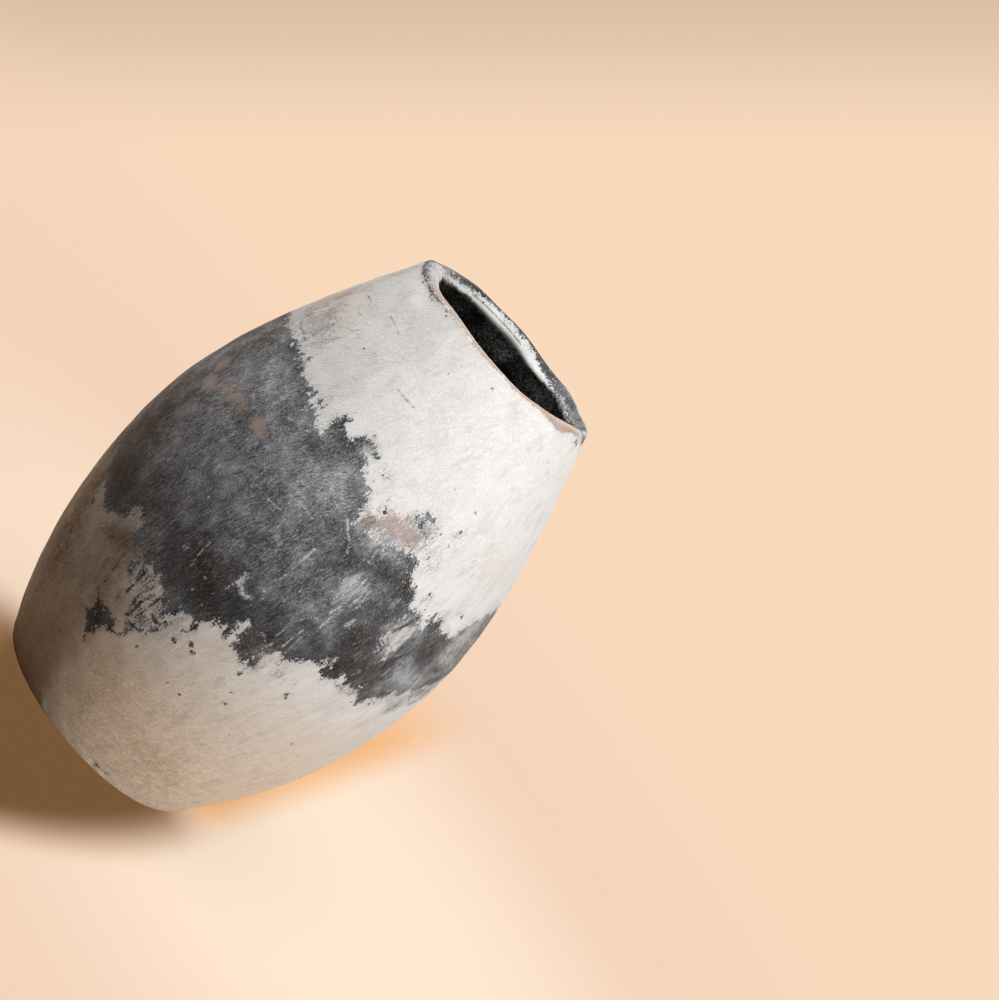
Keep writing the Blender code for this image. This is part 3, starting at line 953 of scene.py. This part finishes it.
def makeSlip():
    look = slipFinish
    t, grains = newMaterial("smokedSlip", slipGrain)
    blotch, mottle, salt, island = [grains[name] for name in ("blotch", "mottle", "salt", "island")]
    leanShare = t.span(t.total(t.mark("lean"), leanMask=1.6), 0.25, 0.6)
    crossShare = t.span(t.total(t.mark("cross"), crossMask=2.0), 0.30, 0.6)
    streak = t.mix(crossShare, t.mix(leanShare, grains["upright"], grains["leaned"]), grains["crossed"])
    grains["streak"] = streak

    def scratches(level):
        hair, scuff, graze = [t.thread(grains[name], level, look["scratchHalf"])
                              for name in ("hair", "scuff", "graze")]
        return t.plus(t.plus(hair, scuff), t.times(graze, crossShare))

    pale = scratches(look["paleLevel"])
    threads = t.scaled(scratches(look["darkLevel"]), -0.6, pale)

    # slip, white at the shoulder and beige where it is thin, with some of that beige painted shade
    thin = t.mark("warm")
    low = t.span(thin, 0.2, 0.9)
    warm = t.span(t.total(thin, mottle=0.5, blotch=0.15), 0.06, 1.0, smooth=False)
    slip = t.blend(warm, look["white"], look["beige"])
    pink = t.times(t.span(blotch, 0.52, 0.72, 0.0, 0.40), t.ease(low, 1.0, 0.2))
    slip = t.blend(pink, slip, look["pinkish"])
    greyed = t.span(t.total(grains["crossMask"], mottle=1.0, hair=0.4), 0.48, 0.70)
    slip = t.blend(t.times(greyed, t.ease(low, 0.10, 0.06)), slip, look["lavender"])
    browned = t.span(t.total(grains["leanMask"], blotch=1.6, hair=0.6), 0.60, 0.85)
    slip = t.blend(t.times(browned, t.ease(low, 0.05, 0.10)), slip, look["brown"])
    blush = t.patch("blush", 0.10, 1.15, 0.92, (0.04, 0.22), blotch=1.8, hair=2.0, streak=3.4, salt=2.4)
    slip = t.blend(blush, slip, look["blush"])
    veil = t.patch("veil", 0.05, 0.90, 0.9, (0.03, 0.20), blotch=1.2, hair=0.8, streak=2.2, salt=2.0)
    slip = t.blend(veil, slip, look["greyWash"])
    # painted shade: the slip is darkened brown where the shade spots lie
    paintedShade = t.span(t.total(t.mark("paintedShade"), blotch=0.6, hair=0.4), 0.05, 1.0, smooth=False)
    slip = t.blend(paintedShade, slip, look["paintedShade"], "MULTIPLY")
    grain = t.total(0.0, streak=0.15, salt=0.10, blotch=0.16)
    grain = t.scaled(threads, t.ease(low, 0.075, 0.03), grain)
    grain = t.calc("SUBTRACT", grain, t.span(grains["drift"], 0.50, 0.68, 0.0, 0.10))
    grain = t.times(grain, t.span(thin, 0.0, 0.9, 0.8, 1.5))
    slip = t.blend(1.0, slip, t.plus(grain, 1.0), "MULTIPLY")
    wisps = t.times(t.thread(grains["girdle"], 0.48, 0.055), t.span(mottle, 0.34, 0.54))
    wisps = t.times(t.scaled(pale, 0.6, wisps), low)
    slip = t.blend(t.times(wisps, 0.46), slip, look["wisp"])
    chalk = t.total(t.mark("chalk"), ragged=0.9, salt=0.6)
    slip = t.blend(t.span(chalk, 0.25, 0.7, 0.0, 0.9), slip, look["chalk"])
    stain = t.total(t.mark("stain"), ragged=1.6, salt=1.4)
    slip = t.blend(t.span(stain, -0.25, 0.40, 0.0, 0.68), slip, look["stain"])

    # charcoal cloud: mm inside its edge, frayed along the burnishing strokes, with stray islands
    fray = t.span(t.axes()[2], *look["frayFade"], look["fray"], 0.0)
    reach = t.total(t.mark("smoke"), ragged=6.0, salt=7.0)
    reach = t.plus(reach, t.times(t.calc("SUBTRACT", grains["fringe"], 0.5), fray))
    reach = t.plus(reach, t.span(island, 0.60, 0.68, 0.0, 3.6))
    reach = t.calc("SUBTRACT", reach, t.span(island, 0.40, 0.32, 0.0, 3.6))
    cloud = t.span(reach, -0.30, 0.35)
    halo = t.span(t.total(reach, blotch=14.0), -4.5, 1.5, 0.0, 0.30)
    slip = t.blend(halo, slip, look["greyWash"])
    depth = t.total(0.0, streak=1.8, salt=1.8, hair=0.7)
    depth = t.times(depth, t.span(t.total(mottle, blotch=0.8), 0.36, 0.64, 0.75, 1.25))
    depth = t.plus(t.total(t.mark("depth"), blotch=1.7, mottle=1.0), depth)
    depth = t.plus(depth, t.span(grains["dash"], 0.62, 0.70, 0.0, 0.45))
    char = t.ramp(t.scaled(depth, 0.5, 0.25), look["charStops"])
    tint = t.blend(t.span(mottle, 0.44, 0.60), look["coolTint"], look["warmTint"])
    char = t.blend(1.0, char, tint, "MULTIPLY")
    ash = t.times(t.span(salt, 0.66, 0.73), t.span(island, 0.52, 0.62))
    char = t.blend(t.times(ash, 0.7), char, look["ash"])
    wiped = t.total(t.mark("wiped"), hair=2.2, streak=1.6, salt=1.2)
    char = t.blend(t.span(wiped, 0.35, 0.85, 0.0, 0.62), char, look["scrape"])
    scraped = t.total(t.mark("scrape"), ragged=3.0, salt=6.0, streak=6.0)
    char = t.blend(t.span(scraped, -0.1, 0.8, 0.0, 0.88), char, look["scrape"])
    scratch = t.total(t.mark("scratch"), ragged=1.2, salt=2.4)
    char = t.blend(t.span(scratch, 0.0, 0.45, 0.0, 0.82), char, look["scrape"])
    skin = t.blend(cloud, slip, char)

    # flecks, dark strokes and rust on both
    fleck = t.calc("SUBTRACT", t.total(t.mark("fleck"), ragged=5.0, salt=4.0), 0.15)
    fleck = t.calc("MAXIMUM", fleck, t.total(t.mark("line"), ragged=2.0, salt=3.4))
    skin = t.blend(t.span(fleck, -0.15, 0.45, 0.0, 0.93), skin, look["fleck"])
    rust = t.patch("rust", 0.30, 0.95, 0.9, (0.06, 0.25), island=3.0, salt=5.0, streak=5.0)
    skin = t.blend(rust, skin, t.blend(t.span(salt, 0.44, 0.66), look["rust"], look["blush"]))

    # pits
    cells = {"Vector": t.place(), "Scale": look["pitScale"]}
    middle = t.add("ShaderNodeTexVoronoi", cells, "Distance", feature="F1")
    pit = t.times(t.span(middle, 0.05, 0.085, 1.0, 0.0), t.span(grains["leanMask"], 0.56, 0.62))
    skin = t.blend(t.times(pit, 0.6), skin, look["stain"])

    # worn crest of the lip, and the soot inside it
    worn = t.span(t.total(t.mark("bare"), blotch=5.0, ragged=3.0, salt=3.0), -0.3, 0.3)
    clay = t.blend(t.span(t.total(blotch, salt=1.0), 0.36, 0.54), look["bareClay"], look["worn"])
    skin = t.blend(worn, skin, clay)
    sooted = t.span(t.total(t.mark("soot"), ragged=9.0, salt=5.0, blotch=6.0), -0.5, 0.8)
    soot = t.blend(t.span(t.total(blotch, salt=1.8), 0.46, 0.80), look["soot"], look["sootGrey"])
    skin = t.blend(sooted, skin, soot)

    rough = t.total(t.ease(cloud, 0.58, 0.54), streak=0.5, blotch=0.4)
    relief = t.total(0.0, streak=0.7, blotch=0.35, salt=0.3)
    for field, height in ((threads, 0.12), (pit, -0.6), (worn, -0.5)):
        relief = t.scaled(field, height, relief)
    return t.finish(skin, rough, relief, look)


sootFinish = {
    "black": (0.040, 0.039, 0.038, 1),
    "grey": (0.24, 0.235, 0.225, 1),
    "brown": (0.12, 0.088, 0.068, 1),
    "bumpDepth": 0.0006,
    "specular": 0.25,
}
sootGrain = {
    "blotch": {"scale": 70.0, "detail": 6.0, "rough": 0.62},
    "drag": {"scale": 420.0, "detail": 4.0, "rough": 0.6, "stretch": (0.16, 0.16, 1)},
    "fine": {"scale": 900.0, "detail": 3.0, "rough": 0.6},
}


def makeSoot():
    look = sootFinish
    t, grains = newMaterial("sootedInside", sootGrain)
    blotch, drag = grains["blotch"], grains["drag"]
    tone = t.blend(t.span(t.total(blotch, fine=1.2), 0.42, 0.72), look["black"], look["grey"])
    tone = t.blend(t.span(drag, 0.5, 0.8, 0.0, 0.6), tone, look["brown"])
    return t.finish(tone, t.span(blotch, 0.3, 0.7, 0.72, 0.95), t.total(drag, fine=0.4), look)


footFinish = {
    "clay": (0.50, 0.36, 0.255, 1),
    "pale": (0.62, 0.53, 0.43, 1),
    "scuff": (0.16, 0.12, 0.095, 1),
    "bumpDepth": 0.0005,
    "specular": 0.3,
}
footGrain = {
    "blotch": {"scale": 42.0, "detail": 6.0, "rough": 0.6},
    "grit": {"scale": 700.0, "detail": 4.0, "rough": 0.65},
    "drag": {"scale": 520.0, "detail": 3.0, "rough": 0.6, "stretch": (0.12, 1, 1)},
}


def makeFoot():
    look = footFinish
    t, grains = newMaterial("footClay", footGrain)
    blotch, grit = grains["blotch"], grains["grit"]
    tone = t.blend(t.span(blotch, 0.32, 0.68), look["clay"], look["pale"])
    tone = t.blend(t.span(t.total(blotch, drag=1.0), 0.58, 0.85, 0.0, 0.65), tone, look["scuff"])
    tone = t.blend(1.0, tone, t.span(grit, 0.25, 0.75, 0.82, 1.08, False), "MULTIPLY")
    return t.finish(tone, t.span(grit, 0.3, 0.7, 0.78, 0.95), t.total(grit, drag=0.6), look)


smokedSlip, sootedInside, footClay = makeSlip(), makeSoot(), makeFoot()
print("finishes mixed: smokedSlip, sootedInside, footClay")


def addObject(name, data):
    holder = bpy.data.objects.new(name, data)
    bpy.context.scene.collection.objects.link(holder)
    return holder


# One closed solid for each piece of clay, cut from the same wall surface
def stackSheets(names):
    points, normals, finishes = [], [], []
    marks = {n: [] for n in markNames}
    for name, finish in names:
        sheetPoints, sheetNormals, sheetMarks = sheets[name]
        joins = bool(points) and np.allclose(points[-1][-1], sheetPoints[0])
        first = 1 if joins else 0
        points.append(sheetPoints[first:])
        normals.append(sheetNormals[first:])
        for n in markNames:
            marks[n].append(sheetMarks[n][first:])
        if finishes and not joins:
            finishes.append(finishes[-1])
        finishes += [finish] * (len(sheetPoints) - 1)
    marks = {n: np.concatenate(m) for n, m in marks.items()}
    return np.concatenate(points), np.concatenate(normals), marks, finishes


bakeMap = {"name": "OFBake", "strips": 3, "margin": 0.012}


def addBakeMap(mesh, points, steps):
    # strips round the ring, each with the whole section laid flat
    columns, strips, margin = points.shape[1], bakeMap["strips"], bakeMap["margin"]
    lengths = [np.linalg.norm(points[high, 0] - points[low, 0]) for low, high in steps]
    share = margin + (1 - 2 * margin) * np.concatenate([[0.0], np.cumsum(lengths)]) / sum(lengths)
    perStrip = columns // strips
    strip, column = np.divmod(np.arange(columns), perStrip)
    left, right = [margin + (1 - 2 * margin) * side / perStrip for side in (column, column + 1)]
    coords = []
    for ends in zip(share, share[1:]):
        low, high = [(strip + end) / strips for end in ends]
        coords.append(np.stack([left, low, right, low, right, high, left, high], 1))
    layer = mesh.uv_layers.new(name=bakeMap["name"])
    layer.data.foreach_set("uv", np.concatenate(coords).ravel().astype(np.float32))


def clayPiece(name, node, slot, closed, *names):
    points, normals, marks, finishes = stackSheets(names)
    rowCount, columns = points.shape[:2]
    steps = [(i, i + 1) for i in range(rowCount - 1)]
    if closed:
        steps.append((rowCount - 1, 0))
        finishes.append(finishes[0])
    here = np.arange(columns)
    ahead = (here + 1) % columns
    used = list(dict.fromkeys(finishes))
    polygons, materialOf = [], []
    for (low, high), finish in zip(steps, finishes):
        corners = [low * columns + here, low * columns + ahead, high * columns + ahead, high * columns + here]
        polygons += np.stack(corners, 1).tolist()
        materialOf += [used.index(finish)] * columns
    verts = points.reshape(-1, 3) * mm
    normals = normals.reshape(-1, 3)
    if not closed:
        # close the middle of the underside and of the floor inside
        first, last, lastRow = len(verts), len(verts) + 1, len(verts) - columns
        verts = np.concatenate([verts, [verts[:columns].mean(0), verts[-columns:].mean(0)]])
        normals = np.concatenate([normals, [(0, 0, -1), (0, 0, 1)]])
        polygons += np.stack([np.full(columns, first), ahead, here], 1).tolist()
        polygons += np.stack([np.full(columns, last), lastRow + here, lastRow + ahead], 1).tolist()
        materialOf += [used.index(finishes[0])] * columns + [used.index(finishes[-1])] * columns
    mesh = bpy.data.meshes.new(name)
    mesh.from_pydata(verts.tolist(), [], polygons)
    for finish in used:
        mesh.materials.append(finish)
    mesh.polygons.foreach_set("material_index", materialOf)
    mesh.shade_smooth()
    for n in markNames:
        values = marks[n].ravel()
        if not closed:
            values = np.concatenate([values, [values[0], values[-1]]])
        layer = mesh.attributes.new(n, "FLOAT", "POINT")
        layer.data.foreach_set("value", values.astype(np.float32))
    if closed:
        addBakeMap(mesh, points, steps)
    mesh.normals_split_custom_set_from_vertices(normals.tolist())
    piece = addObject(name, mesh)
    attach(piece, "root")
    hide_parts(node)


clayPiece("vaseBase", "base_slab", "base_clay", False,
          ("underside", footClay), ("heel", smokedSlip), ("slabEdge", smokedSlip), ("floor", sootedInside))
clayPiece("vaseBaseSeam", "base_seam_coil", "sooted_clay", True,
          ("fillet", sootedInside), ("filletBack", sootedInside))
for k in courses:
    inner = smokedSlip if k == courseCount else sootedInside
    clayPiece(f"vaseWall{k}", f"wall_coil_{k}", "burnished_slip", True,
              (f"out{k}", smokedSlip), (f"in{k}", inner))
clayPiece("vaseRim", "rim_coil", "burnished_slip", True,
          ("rimOut", smokedSlip), ("lip", smokedSlip), ("rimIn", smokedSlip))
print("clay pieces modelled:", courseCount + 3)

vaseMiddle = Vector((0, 0, vaseForm["height"] * mm / 2))
photoView = {
    "imageWidth": 999.0,
    "imageHeight": 1000.0,
    "focalPixels": 3200.0,
    "elevation": 15.5,       # degrees above the vase's middle
    "distance": 1.471,
    "roll": 49.9,            # the vase leans to the right of the picture
    "middleX": 300.8,        # pixel of the vase's middle
    "middleY": 534.6,
    "sensor": 36.0,
    "clipEnd": 60.0,
}


def makeCamera():
    look = photoView
    camera = bpy.data.cameras.new("photoCamera")
    camera.sensor_fit = "HORIZONTAL"
    camera.sensor_width = look["sensor"]
    camera.lens = look["focalPixels"] / look["imageWidth"] * look["sensor"]
    camera.clip_end = look["clipEnd"]
    tilt = math.radians(look["elevation"])
    away = Vector((0, -math.cos(tilt), math.sin(tilt)))
    level = Matrix.Rotation(math.pi / 2 - tilt, 3, "X")
    rolled = level @ Matrix.Rotation(math.radians(look["roll"]), 3, "Z")
    right = (look["middleX"] - look["imageWidth"] / 2) / look["focalPixels"]
    down = (look["middleY"] - look["imageHeight"] / 2) / look["focalPixels"]
    ahead = Vector((0, 0, -1))
    pan = Vector((right, -down, -1.0)).rotation_difference(ahead).to_matrix()
    holder = addObject("photoCamera", camera)
    holder.matrix_world = Matrix.Translation(vaseMiddle + away * look["distance"]) @ (rolled @ pan).to_4x4()
    bpy.context.scene.camera = holder


stageLook = {           # places and lengths in metres, from the middle of the foot
    "peach": (0.94, 0.695, 0.505, 1),
    "litPeach": (0.82, 0.625, 0.465, 1),      # the same under the lamps
    "nearGlow": (0.88, 0.632, 0.482, 1),
    "brightGlow": (1.0, 0.82, 0.645, 1),      # brightest to the right of the foot
    "brightAt": (0.15, 0.10, 0.0),
    "brightRing": (0.08, 0.42),
    "glowShare": 0.86,                        # how much of the floor near the vase glows by itself
    "glowRing": (0.30, 1.0),                  # all of it does further off
    "shadowPeach": (0.19, 0.096, 0.040, 1),   # warm shade beside the foot
    "shade": {
        "slant": -0.325,                      # the right edge leans this much in x for each metre of y
        "bow": 1.2,                           # and bows, metres for a square metre
        "bowAt": 0.088,                       # this far in front
        "right": (0.061, 0.097),
        "left": (-0.095, -0.042),
        "near": (-0.6, -0.28),
        "far": (-0.03, 0.03),
    },
    "contactPeach": (0.90, 0.455, 0.175, 1),  # warm shade along the right of the foot
    "contact": {
        "slant": -0.176,
        "right": (0.062, 0.088),
        "left": (0.01, 0.05),
        "near": (-0.04, 0.04),
        "far": (0.28, 0.55),
    },
    "fringeWarmth": 0.45,                     # the same warmth in the soft edge of the shade
    "bounce": (0.15, 0.112, 0.082, 1),        # dim, so that the floor doesn't wash out the shaded side
    "bounceShade": (0.21, 0.150, 0.107, 1),
    "bounceLeft": (-0.22, 0.12, 0.40, 1.0),   # the floor sends less light back from the left
    "dim": 0.74,                              # the far floor is dimmer on the left
    "dimBehind": (0.1, 0.4),
    "dimFan": (-0.447, -1.518),               # along a fan of lines from this point
    "dimLean": 0.855,                         # which leans to the right as it rises
    "dimSpan": (0.077, 0.0007),               # metres to the right for each metre away
    "near": -9.0,
    "far": 5.0,
    "floorRows": (-1.0, 0.0, 1.0),
    "halfWidth": 6.0,
    "sweep": 2.0,
    "sweepRows": 16,
    "wallTop": 7.0,
    "drop": 0.0002,                           # just under the foot
}


def makeFloor():
    look = stageLook
    t = NodeTree(bpy.data.materials.new("peachFloor"))
    x, y, z = t.axes()

    def region(area):
        # a soft-edged area of the floor
        edge = t.scaled(y, area["slant"], x)
        if "bow" in area:
            along = t.plus(y, area["bowAt"])
            edge = t.scaled(t.times(along, along), area["bow"], edge)
        mask = t.times(t.span(edge, *area["right"], 1.0, 0.0), t.span(x, *area["left"]))
        return t.times(t.times(mask, t.span(y, *area["near"])), t.span(y, *area["far"], 1.0, 0.0))

    def distance(place):
        return t.add("ShaderNodeVectorMath", {0: t.place(), 1: place}, "Value", operation="DISTANCE")

    # near the vase: bright to the right, warm along the foot, dark in the shade
    shaded = region(look["shade"])
    warmth = t.calc("MAXIMUM", region(look["contact"]), t.times(shaded, look["fringeWarmth"]))
    bright = t.span(distance(look["brightAt"]), *look["brightRing"], 1.0, 0.0)
    tone = t.blend(warmth, t.blend(bright, look["nearGlow"], look["brightGlow"]), look["contactPeach"])
    lit = t.mixShader(look["glowShare"], t.matt(look["litPeach"]), t.glow(tone))
    lit = t.mixShader(shaded, lit, t.glow(look["shadowPeach"]))

    # further off
    fanX, fanY = look["dimFan"]
    right = t.calc("SUBTRACT", t.scaled(z, -look["dimLean"], x), fanX)
    fan = t.calc("DIVIDE", right, t.calc("SUBTRACT", y, fanY))
    dimmed = t.span(fan, *look["dimSpan"], 1.0, look["dim"])
    dimmed = t.mix(t.span(y, *look["dimBehind"]), 1.0, dimmed)
    far = t.glow(t.blend(1.0, look["peach"], dimmed, "MULTIPLY"))
    seen = t.mixShader(t.span(distance((0, 0, 0)), *look["glowRing"]), lit, far)

    # what the floor sends back to the vase
    returned = t.blend(shaded, look["bounce"], look["bounceShade"])
    returned = t.blend(1.0, returned, t.span(x, *look["bounceLeft"]), "MULTIPLY")
    return t.show(t.mixShader(t.directRay(), t.matt(returned), seen))


def makeStage():
    look = stageLook
    turn = [(look["far"] + look["sweep"] * math.sin(a), look["sweep"] * (1 - math.cos(a)))
            for a in np.linspace(0, math.pi / 2, look["sweepRows"] + 1)]
    section = [(y, 0.0) for y in (look["near"], *look["floorRows"])]
    section += turn + [(turn[-1][0], look["wallTop"])]
    verts = [(side * look["halfWidth"], y, z - look["drop"]) for y, z in section for side in (-1, 1)]
    polygons = [(2 * i, 2 * i + 1, 2 * i + 3, 2 * i + 2) for i in range(len(section) - 1)]
    mesh = bpy.data.meshes.new("peachSweep")
    mesh.from_pydata(verts, [], polygons)
    mesh.shade_smooth()
    mesh.materials.append(makeFloor())
    addObject("peachSweep", mesh)


studioLight = {
    "overheadLight": {"from": (-0.44, -0.64, 2.80), "size": 1.8, "power": 104.0, "colour": (1.0, 1.0, 1.0)},
    "sideLight": {"from": (1.95, -1.14, 0.18), "size": 0.34, "power": 35.0, "colour": (1.0, 0.99, 0.975)},
    "backLight": {"from": (0.35, 2.30, 1.00), "size": 1.2, "power": 22.0, "colour": (1.0, 0.95, 0.90)},
}
roomGlow = {"colour": (1.0, 0.80, 0.62, 1), "level": 0.012}


def makeLight():
    for name, look in studioLight.items():
        lamp = bpy.data.lights.new(name, "AREA")
        lamp.shape = "DISK"
        lamp.size = look["size"]
        lamp.energy = look["power"]
        lamp.color = look["colour"]
        holder = addObject(name, lamp)
        holder.location = look["from"]
        aim = vaseMiddle - Vector(look["from"])
        holder.rotation_euler = aim.to_track_quat("-Z", "Y").to_euler()
    t = NodeTree(bpy.data.worlds.new("studio"))
    room = t.add("ShaderNodeBackground", {"Color": roomGlow["colour"], "Strength": roomGlow["level"]})
    beyond = t.add("ShaderNodeBackground", {"Color": stageLook["peach"]})    # seen past the end of the sweep
    seen = t.mixShader(t.directRay(), room, beyond)
    bpy.context.scene.world = t.show(seen, "ShaderNodeOutputWorld")


makeStage()
makeLight()
makeCamera()
bpy.context.scene.view_settings.view_transform = "Standard"
print("stage, light and camera set")
